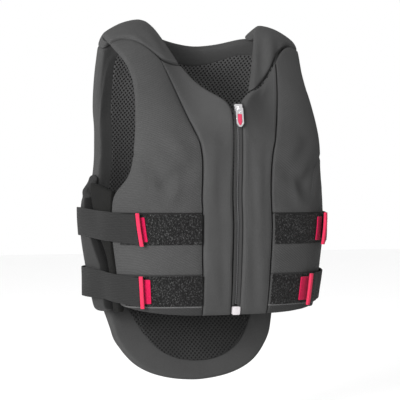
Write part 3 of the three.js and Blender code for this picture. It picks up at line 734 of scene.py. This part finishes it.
def puffed(piece):
    """Runs Cloth with pressure on a closed pad and keeps at most the cap of its movement."""
    before = points_of(piece)
    cloth = piece.modifiers.new("cover", "CLOTH")
    cloth.settings.quality = 4
    cloth.settings.mass = 0.15
    cloth.settings.tension_stiffness = 12
    cloth.settings.compression_stiffness = 12
    cloth.settings.bending_stiffness = 0.6
    cloth.settings.use_pressure = True
    cloth.settings.uniform_pressure_force = PUFF_PRESSURE
    cloth.settings.shrink_min = -PUFF_SLACK
    cloth.settings.effector_weights.gravity = 0
    cloth.collision_settings.use_collision = False
    cloth.point_cache.frame_start = 1
    cloth.point_cache.frame_end = PUFF_FRAMES
    for number in range(1, PUFF_FRAMES + 1):
        scene.frame_set(number)
    apply_modifier(piece, cloth)
    scene.frame_set(1)
    move = points_of(piece) - before
    length = np.linalg.norm(move, axis=1, keepdims=True)
    kept = np.where(length > PUFF_CAP, move * (PUFF_CAP / np.maximum(length, 1e-9)), move)
    set_points(piece, before + kept)
    return float(length.max()), float(np.linalg.norm(kept, axis=1).mean())


# %% [markdown]
# Worn foam has soft dents and folds, where the pad bends at the chest and where a strap presses
# on it. They could be sculpted, but a list can be read and changed. Each fold is a short line
# in the front view with a width and a depth. Points of the pad near the line move along their
# own normal, most at the middle.

# %% Soft folds
# x and z of both ends, the width across, and the depth, in millimetres: minus is a dent.
# A list under a kind of pad goes on both sides, mirrored.
FOLDS = {
    "front_side": [
        (118, -240, 72, -206, 11, -5.2), (106, -262, 66, -246, 8, -3.2),
        (130, -200, 104, -236, 9, -4.2), (88, -216, 100, -254, 7, 3.2),
        (70, -251, 122, -262, 5, 2.2), (58, -264, 150, -263, 5, 1.8), (57, -271, 156, -270, 2.2, -1.3),
        (96, -172, 74, -196, 12, 2.4), (120, -170, 96, -186, 10, -2.0),
        (58, -318, 150, -317, 3, 0.9), (66, -334, 120, -340, 12, -1.2),
        (58, -352, 150, -350, 5, 1.2), (57, -358, 156, -357, 2.2, -1.2),
        (150, -186, 141, -193, 2.2, -1.4), (141, -193, 134, -204, 2.2, -1.6),
        (134, -204, 130, -219, 2.2, -1.6), (130, -219, 127, -246, 2.2, -1.4),
    ],
    "front_side_left": [(140, -204, 118, -244, 10, -2.0), (100, -150, 128, -178, 12, -1.6)],
    "front_side_right": [(-96, -140, -70, -180, 16, -1.8), (-112, -408, -70, -409, 3, -0.8)],
    "front_centre_right": [
        (-20, -190, -26, -300, 7, -1.3), (-38, -150, -41, -250, 8, 1.2), (-30, -200, -31, -280, 5, -0.9),
        (-26, -300, -20, -400, 6, -1.1), (-44, -330, -30, -390, 6, 0.8),
    ],
    "front_centre_left": [
        (20, -180, 26, -290, 6, -1.7), (34, -210, 32, -330, 7, 1.4), (16, -170, 14, -300, 4, -0.9),
        (44, -170, 42, -260, 7, -1.4), (22, -300, 28, -400, 7, -1.5), (38, -320, 40, -400, 6, 1.0),
    ],
    "shoulder_left": [
        (88, -6, 66, -66, 6, -3.6), (102, -4, 78, -54, 7, 2.4), (112, -16, 92, -48, 6, -2.6),
        (74, -20, 60, -60, 5, 1.6),
    ],
    "shoulder_right": [(-88, 2, -72, -40, 8, -1.8), (-110, -8, -92, -40, 8, -1.6)],
    "back_wing": [
        (150, -222, 172, -230, 4, -1.4), (150, -236, 172, -239, 4, 1.1), (150, -248, 172, -247, 4, -1.5),
    ],
}
SEAM_WELT = (2.6, 0.8)
FOLD_END = 0.35
SHOULDER_OUT = (0, -0.6, 1)


def fold(piece, lines, on_shoulder):
    """Moves the outer face along each line. The outer face looks away from the body's axis."""
    points = points_of(piece)
    normals = normals_of(piece)
    away = np.array([SHOULDER_OUT]) if on_shoulder else points * [[1, 1, 0]]
    outside = (normals * away).sum(axis=1) > 0
    for x0, z0, x1, z1, width, depth in lines:
        start = np.array([x0, z0]) * MM
        way = np.array([x1, z1]) * MM - start
        flat = points[:, [0, 2]] - start
        share = np.clip(flat @ way / (way @ way), 0, 1)
        gap = np.linalg.norm(flat - share[:, None] * way, axis=1) / (width * MM)
        middle = np.sin(np.pi * np.clip(share * 0.9 + 0.05, 0, 1))
        strength = FOLD_END + (1 - FOLD_END) * middle
        push = depth * MM * np.exp(-gap * gap) * strength * outside
        points = points + normals * push[:, None]
    set_points(piece, points)


# %% [markdown]
# Eleven pads make the vest: two at the middle of the front, two at its sides, two shoulders,
# two underarm pieces, two wings and the back. The seam between the middle and the side pads is
# drawn once, because the welt beside it and later the stitches follow the same line.

# %% Make the pads
PAD_LEVELS = 2
FRONT_SEAM = [
    (92, -46), (81, -84), (71, -119), (61, -153), (56, -179), (53.5, -210),
    (54.6, -290), (52.4, -360), (50.3, -408),
]
PAD_FINISH = {
    "front_centre": ("smooth", smooth_cover),
    "front_side": ("ribbed", ribbed_cover),
    "shoulder": ("smooth", smooth_cover),
    "side_gusset": ("gusset", gusset_cover),
    "back_wing": ("smooth", wing_cover),
}


def finished(piece, node, material, body="vest"):
    """Gives a piece its material and body, and hides the CAD node that it stands for."""
    piece.data.materials.clear()
    piece.data.materials.append(material)
    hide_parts(node)
    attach(piece, body)
    return piece


def fold_lines(node):
    """The lines of one pad: its own, those of its kind, and the welt of the front seam."""
    kind, _, side = node.rpartition("_")
    if side not in SIDES:
        return []
    sign = SIDES[side]
    lines = list(FOLDS.get(node, []))
    for x0, z0, x1, z1, width, depth in FOLDS.get(kind, []):
        lines.append((sign * x0, z0, sign * x1, z1, width, depth))
    if kind.startswith("front_"):
        for (x0, z0), (x1, z1) in zip(FRONT_SEAM, FRONT_SEAM[1:]):
            lines.append((sign * x0, z0, sign * x1, z1, *SEAM_WELT))
    return lines


def make_pad(node, material):
    pad = copy_of(node, node + "_cover")
    rounded(pad, PAD_LEVELS)
    reach, mean = puffed(pad)
    print(node, "puffed", round(reach * 1000, 1), "mm, kept", round(mean * 1000, 2))
    fold(pad, fold_lines(node), node.startswith("shoulder"))
    select_only(pad)
    bpy.ops.object.shade_smooth()
    finished(pad, node, material)
    return pad


pads = {}
for kind, (slot_name, material) in PAD_FINISH.items():
    for side in SIDES:
        node = kind + "_" + side
        pads[node] = make_pad(node, material)
pads["back_panel"] = make_pad("back_panel", smooth_cover)
print("pads:", len(pads))

# %% [markdown]
# ## Thin pieces: lining, hook tape, straps, bindings and tabs
#
# Webbing and tape have crisp cut edges, and rounding them like a pad would eat them. So a copy
# of the model's piece gets creases along its sharp edges before it is subdivided. The curve
# round the body comes out smooth, and the outline stays square. A narrow bevel takes off the
# knife edge that no cloth has.

# %% Crisp pieces
SHARP_FROM = math.radians(45)
BAND_LEVELS = 2


def crisp(node, name, crease=0.85, bevel=0.0003):
    """A thin piece, smooth along its curve and square at its edges."""
    piece = copy_of(node, name)
    cage = bmesh.new()
    cage.from_mesh(piece.data)
    layer = cage.edges.layers.float.get("crease_edge") or cage.edges.layers.float.new("crease_edge")
    for edge in cage.edges:
        if len(edge.link_faces) == 2 and edge.calc_face_angle() > SHARP_FROM:
            edge[layer] = crease
    cage.to_mesh(piece.data)
    cage.free()
    rounded(piece, BAND_LEVELS)
    if bevel:
        softer = piece.modifiers.new("edge", "BEVEL")
        softer.width = bevel
        softer.segments = 2
        softer.limit_method = "ANGLE"
        softer.angle_limit = math.radians(40)
        apply_modifier(piece, softer)
    select_only(piece)
    bpy.ops.object.shade_smooth_by_angle(angle=math.radians(35))
    return piece


def rippled(piece, size, height):
    """Moves points along their normals by a smooth, fixed pattern. Both values are in mm."""
    points = points_of(piece)
    normals = normals_of(piece)
    place = points / (size * MM)
    across = np.sin(place[:, 0] * 1.3 + place[:, 2] * 2.1)
    along = np.sin(place[:, 1] * 1.7 - place[:, 2] * 0.9 + 1.0)
    wave = across * along
    set_points(piece, points + normals * (wave * height * MM)[:, None])


# %% [markdown]
# The lining hangs a little loose inside the back, so it is rounded like a pad but without
# pressure, and it gets a slow ripple.

# %% Lining of the back
lining = copy_of("back_lining", "back_lining_knit")
rounded(lining, 3)
rippled(lining, 34, 0.5)
select_only(lining)
bpy.ops.object.shade_smooth()
finished(lining, "back_lining", lining_cover)

# %% [markdown]
# Each of the four closures has a strip of hook tape on the front, an elastic strap from the
# back, a binding folded over the end of the strap, and the tab of the hook piece below it. The
# binding is soft at its fold, so its edges are creased less and it has no bevel. Hook tape and
# straps are rippled, because webbing is never quite flat.

# %% Hook tape, straps, bindings and tabs
CLOSURE_FINISH = {
    "landing": ("hook", hook_cover),
    "strap": ("elastic", elastic_cover),
    "strap_binding": ("bright", lit_pink_trim),
    "strap_tab": ("bright", bright_cover),
}
RIPPLES = {"landing": (21, 0.25), "strap": (30, 0.5)}
SOFT_EDGES = {"strap_binding": {"crease": 0.3, "bevel": 0}}

thin_pieces = {"back_lining": lining}
for side in SIDES:
    for row in ("upper", "lower"):
        for kind, (slot_name, material) in CLOSURE_FINISH.items():
            node = kind + "_" + row + "_" + side
            piece = crisp(node, node + "_cloth", **SOFT_EDGES.get(kind, {}))
            if kind in RIPPLES:
                rippled(piece, *RIPPLES[kind])
            thin_pieces[node] = finished(piece, node, material)
print("thin pieces:", len(thin_pieces))

# %% [markdown]
# ## Zip
#
# A moulded zip has a row of blocks on each tape. Each block has a narrow neck and a wider head
# that the two heads beside it hold. One tooth is modelled and copied along the line of the
# zip, right and left in turn. The line is read from the solid that stands for the chain.

# %% Line of the zip
SAME_HEIGHT = 0.0006
TILT_REACH = 0.004

chain_points = np.array([v.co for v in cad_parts["zip_chain"].data.vertices])
chain_rows = sorted({round(z, 4) for z in chain_points[:, 2]})
chain_front = []
for z in chain_rows:
    at_height = np.abs(chain_points[:, 2] - z) < SAME_HEIGHT
    chain_front.append((chain_points[at_height, 1].min(), z))
chain_front = np.array(chain_front)
print("zip length:", round(chain_front[-1, 1] - chain_front[0, 1], 3))


def on_zip(z, depth):
    """A point of the zip's centre line at height z, sunk by depth, and the tilt there."""
    heights = (z, z + TILT_REACH, z - TILT_REACH)
    here, above, below = (float(np.interp(h, chain_front[:, 1], chain_front[:, 0])) for h in heights)
    return Vector((0, here + depth, z)), math.atan2(above - below, 2 * TILT_REACH)


# %% [markdown]
# The tooth starts as a cube at the size of one block. Its long edges are cut twice, the end is
# made higher for the head, and the middle is pinched for the neck. A bevel rounds the moulding.

# %% One tooth
TOOTH_PITCH = 0.0032
TOOTH_SIZE = (0.0026, 0.0022, 0.0014)
LONG_EDGE = 0.002
HEAD_FROM = 0.0010
NECK_WITHIN = 0.0008
HEAD_SPREAD = 1.35
NECK_PINCH = 0.72


def edit_chosen(piece, level, chosen):
    """Enters edit mode with only the chosen vertices or edges of a piece selected."""
    select_only(piece)
    bpy.ops.object.mode_set(mode="EDIT")
    bpy.ops.mesh.select_mode(type=level)
    bpy.ops.mesh.select_all(action="DESELECT")
    bpy.ops.object.mode_set(mode="OBJECT")
    for one in chosen(piece.data):
        one.select = True
    bpy.ops.object.mode_set(mode="EDIT")


def long_edges(mesh):
    ends = [[mesh.vertices[v].co.x for v in edge.vertices] for edge in mesh.edges]
    return [edge for edge, (a, b) in zip(mesh.edges, ends) if abs(a - b) > LONG_EDGE]


def head(mesh):
    return [v for v in mesh.vertices if v.co.x > HEAD_FROM]


def neck(mesh):
    return [v for v in mesh.vertices if abs(v.co.x) < NECK_WITHIN]


bpy.ops.object.select_all(action="DESELECT")
bpy.ops.mesh.primitive_cube_add(size=1, location=(0, 0, 0))
tooth = bpy.context.active_object
tooth.name = "tooth_pattern"
tooth.scale = TOOTH_SIZE
bpy.ops.object.transform_apply(location=False, rotation=False, scale=True)
edit_chosen(tooth, "EDGE", long_edges)
bpy.ops.mesh.subdivide(number_cuts=2)
bpy.ops.object.mode_set(mode="OBJECT")
for part, height in ((head, HEAD_SPREAD), (neck, NECK_PINCH)):
    edit_chosen(tooth, "VERT", part)
    bpy.ops.transform.resize(value=(1, 1, height), center_override=(0, 0, 0))
    bpy.ops.object.mode_set(mode="OBJECT")
tooth_edge = tooth.modifiers.new("edge", "BEVEL")
tooth_edge.width = 0.00025
tooth_edge.segments = 1
apply_modifier(tooth, tooth_edge)
print("faces of a tooth:", len(tooth.data.polygons))

# %% [markdown]
# The teeth of the two tapes face each other and interlock, so every second one is turned half
# round, and each is half a pitch further up. They are joined in one mesh, as one piece.

# %% Row of teeth
TOOTH_SINK = 0.0012
TOOTH_APART = 0.0008


def copies_of(pattern, name, places):
    """One mesh with a copy of the pattern's mesh at each place, given as a 4 by 4 matrix."""
    joined = bmesh.new()
    for place in places:
        one = pattern.data.copy()
        one.transform(place)
        joined.from_mesh(one)
        bpy.data.meshes.remove(one)
    mesh = bpy.data.meshes.new(name)
    joined.to_mesh(mesh)
    joined.free()
    piece = bpy.data.objects.new(name, mesh)
    scene.collection.objects.link(piece)
    return piece


teeth_places = []
z = chain_front[0, 1] + TOOTH_PITCH
count = 0
while z < chain_front[-1, 1]:
    sign = 1 if count % 2 else -1
    point, tilt = on_zip(z, TOOTH_SINK)
    point.x = -sign * TOOTH_APART
    facing = Matrix.Rotation(0 if sign > 0 else math.pi, 4, "Y")
    teeth_places.append(Matrix.Translation(point) @ Matrix.Rotation(-tilt, 4, "X") @ facing)
    z += TOOTH_PITCH / 2
    count += 1
teeth = copies_of(tooth, "zip_teeth", teeth_places)
bpy.data.objects.remove(tooth)
select_only(teeth)
bpy.ops.object.shade_smooth_by_angle(angle=math.radians(30))
finished(teeth, "zip_chain", tooth_plastic)
print("teeth:", count)

# %% [markdown]
# The tapes of the model are plain strips. Here their inner edges come closer to the teeth, and
# they lie a little further out, where the weave can be seen between the teeth and the pads.

# %% Zip tapes
INNER_EDGE = 0.0045
INNER_PULL = 0.62
OUTER_SPREAD = 1.05
TAPE_FORWARD = 0.0022
INNER_SINK = 0.0006

for side in SIDES:
    tape = crisp("zip_tape_" + side, "zip_tape_cloth_" + side, bevel=0.0001)
    tape_points = points_of(tape)
    inner = np.abs(tape_points[:, 0]) < INNER_EDGE
    tape_points[:, 0] *= np.where(inner, INNER_PULL, OUTER_SPREAD)
    tape_points[:, 1] -= TAPE_FORWARD - INNER_SINK * inner
    set_points(tape, tape_points)
    finished(tape, "zip_tape_" + side, tape_cover)

# %% [markdown]
# The slider, the stop and the puller with its inlay are cast and moulded. Their shapes in the
# model are already right, so they only need rounded edges: without a bevel an edge has no
# width, and no light runs along it. The puller and its inlay ride on a body of their own.

# %% Slider, puller and stop
def bevelled(node, name, material, width, body="vest"):
    """A hard piece: the model's own shape with rounded edges that catch the light."""
    piece = copy_of(node, name)
    edge = piece.modifiers.new("edge", "BEVEL")
    edge.width = width
    edge.segments = 3
    edge.limit_method = "ANGLE"
    edge.angle_limit = math.radians(35)
    edge.harden_normals = True
    apply_modifier(piece, edge)
    select_only(piece)
    bpy.ops.object.shade_smooth_by_angle(angle=math.radians(40))
    return finished(piece, node, material, body)


bevelled("zip_slider", "slider_body", polished_metal, 0.00035)
bevelled("zip_stop", "zip_stop_block", silver_plastic, 0.0007)
bevelled("zip_puller", "puller_frame", polished_metal, 0.00035, body="zip_puller")
bevelled("puller_insert", "puller_inlay", insert_plastic, 0.0003, body="zip_puller")

# %% [markdown]
# ## Seams and stitches
#
# The pads are joined by plain seams, with a row of stitches beside each. A stitch is a short,
# fat grain of thread, half sunk in the cloth. A ray finds the surface under every stitch, so
# the rows follow the pads as they really are after the cloth and the folds.

# %% One stitch
STITCH_SIZE = (0.0024, 0.0007, 0.0006)

bpy.ops.object.select_all(action="DESELECT")
bpy.ops.mesh.primitive_uv_sphere_add(segments=6, ring_count=4, radius=0.5, location=(0, 0, 0))
stitch = bpy.context.active_object
stitch.name = "stitch_pattern"
stitch.scale = STITCH_SIZE
bpy.ops.object.transform_apply(location=False, rotation=False, scale=True)
print("faces of a stitch:", len(stitch.data.polygons))

# %% [markdown]
# A row of stitches needs a surface to land on, a line, and a direction to look from. Front rows
# look straight back, rows that go round the side look square to the form, and those of the tail
# look from inside or from behind.

# %% Where stitches land
FAR_AWAY = 0.4
CLOSE_BY = 0.05


def of_both_sides(pieces, *kinds):
    return [pieces[kind + "_" + side] for kind in kinds for side in SIDES]


def surface_of(pieces):
    """A tree of the faces of some pieces, for rays."""
    corners = []
    faces = []
    for piece in pieces:
        base = len(corners)
        corners.extend(v.co.copy() for v in piece.data.vertices)
        faces.extend([base + i for i in p.vertices] for p in piece.data.polygons)
    return BVHTree.FromPolygons(corners, faces)


def from_front(x, z):
    return Vector((x * MM, -FAR_AWAY, z * MM)), Vector((0, 1, 0))


def from_inside(x, z):
    return Vector((x * MM, 0.0, z * MM)), Vector((0, 1, 0))


def from_behind(x, z):
    return Vector((x * MM, FAR_AWAY, z * MM)), Vector((0, -1, 0))


def from_round(x, z):
    """A ray square to the form at the side of the body."""
    turn = turn_of_width(x, z)
    place = lower_point(turn, z)
    nearby = lower_point(turn + 1, z) - lower_point(turn - 1, z)
    outward = nearby.cross(Vector((0, 0, 1))).normalized()
    return place + outward * CLOSE_BY, -outward


def resampled(line, step):
    """Points at about an even step along a line of straight pieces."""
    points = np.array(line, float)
    lengths = np.concatenate([[0], np.cumsum(np.linalg.norm(np.diff(points, axis=0), axis=1))])
    count = max(2, int(lengths[-1] / step))
    wanted = np.linspace(0, lengths[-1], count + 1)
    return np.column_stack([np.interp(wanted, lengths, points[:, k]) for k in (0, 1)])


# %% Sew a row
STITCH_STEP = 3.6
LONGEST_STITCH = 0.009
THREAD_LIFT = 0.00015


def sew(name, lines, surface, ray, thread=thread_cover):
    """Rows of stitches along lines of x and z in millimetres, on a surface."""
    places = []
    for line in lines:
        hits = []
        for x, z in resampled(line, STITCH_STEP):
            origin, direction = ray(x, z)
            hit, normal, _, _ = surface.ray_cast(origin, direction)
            hits.append((hit, normal, direction))
        for (hit, normal, direction), (following, _, _) in zip(hits, hits[1:]):
            if hit is None or following is None or (following - hit).length > LONGEST_STITCH:
                continue
            if normal.dot(direction) > 0:
                normal = -normal
            along = (following - hit).normalized()
            across = normal.cross(along).normalized()
            up = along.cross(across)
            turn = Matrix((along, across, up)).transposed().to_4x4()
            middle = (hit + following) / 2 + up * THREAD_LIFT
            places.append(Matrix.Translation(middle) @ turn)
    piece = copies_of(stitch, name, places)
    select_only(piece)
    bpy.ops.object.shade_smooth()
    piece.data.materials.append(thread)
    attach(piece, "vest")
    print(name, len(places), "stitches")


# %% [markdown]
# On the front, a row runs on each side of the seam between middle and side pad, one beside the
# zip, one down the pinched underarm seam, and one round the hem.

# %% Rows of stitches on the front
UNDERARM_SEAM = [(150, -186), (141, -193), (134, -204), (130, -219), (127, -244)]
SEAM_OFFSET = 3.2
ZIP_OFFSET = 14
HEM_ROW = [(57, -405), (100, -402), (140, -396)]


def mirrored(sign, line):
    return [(sign * x, z) for x, z in line]


front_surface = surface_of(of_both_sides(pads, "front_centre", "front_side"))
seam_rows = []
for sign in SIDES.values():
    for shift in (-SEAM_OFFSET, SEAM_OFFSET):
        seam_rows.append([(sign * (x + shift), z) for x, z in FRONT_SEAM])
    seam_rows.append(mirrored(sign, [(ZIP_OFFSET, -136), (ZIP_OFFSET, -408)]))
    seam_rows.append(mirrored(sign, UNDERARM_SEAM))
sew("front_stitches", seam_rows, front_surface, from_front)

hem_rows = [mirrored(sign, HEM_ROW) for sign in SIDES.values()]
sew("hem_stitches", hem_rows, front_surface, from_round)

# %% [markdown]
# Hook tape is sewn down along its front end and both long edges, and each strap has one row
# across it, just behind its binding. This thread is as dark as the tape.

# %% Rows of stitches on the hook tape and the strap ends
TAPE_EDGES = [(-276, -311), (-363, -398)]
TAPE_FRONT = 60
TAPE_REAR = 150

tape_surface = surface_of(of_both_sides(thin_pieces, "landing_upper", "landing_lower"))
tape_rows = []
for sign in SIDES.values():
    for top, bottom in TAPE_EDGES:
        tape_rows.append(mirrored(sign, [(TAPE_FRONT, bottom), (TAPE_FRONT, top), (TAPE_REAR, top)]))
        tape_rows.append(mirrored(sign, [(TAPE_FRONT, bottom), (TAPE_REAR, bottom)]))
sew("hook_tape_stitches", tape_rows, tape_surface, from_round, thread=dark_thread)

strap_surface = surface_of(of_both_sides(thin_pieces, "strap_upper", "strap_lower"))
strap_rows = [
    [(-148.5, -278), (-144.5, -309)],
    [(147.5, -278), (143.5, -309)],
    [(-143, -365), (-142, -396)],
    [(122.5, -365), (121.5, -396)],
]
sew("strap_stitches", strap_rows, strap_surface, from_round, thread=dark_thread)

# %% [markdown]
# The rounded tail has a row inside, where the lining ends, and one outside near its rim. Both
# follow the curve that the tail itself has in the model.

# %% Rows of stitches on the tail and its lining
TAIL_RISE = 84
TAIL_ROUND = 2.2
TAIL_STEPS = 20


def tail_row(reach, rise):
    """A line round the tail: reach is its half width and rise its distance from the lower end."""
    row = []
    for step in range(-TAIL_STEPS, TAIL_STEPS + 1):
        across = step / TAIL_STEPS
        lift = TAIL_RISE * (1 - (1 - abs(across) ** TAIL_ROUND) ** (1 / TAIL_ROUND))
        row.append((across * reach, -TAIL_DROP + lift + rise))
    return row


sew("lining_stitches", [tail_row(reach=90, rise=31)], surface_of([lining]), from_inside)
sew("tail_stitches", [tail_row(reach=118, rise=10)], surface_of([pads["back_panel"]]), from_behind)
bpy.data.objects.remove(stitch)

# %% [markdown]
# ## Last step
#
# The box of the finished vest is written beside the model's own box, so that the two can be
# compared.

# %% Sizes and finish
visual_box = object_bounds()
for label, (low, high) in (("model", cad_box), ("vest", visual_box)):
    print(label, [round(c * 1000, 1) for c in low], [round(c * 1000, 1) for c in high])
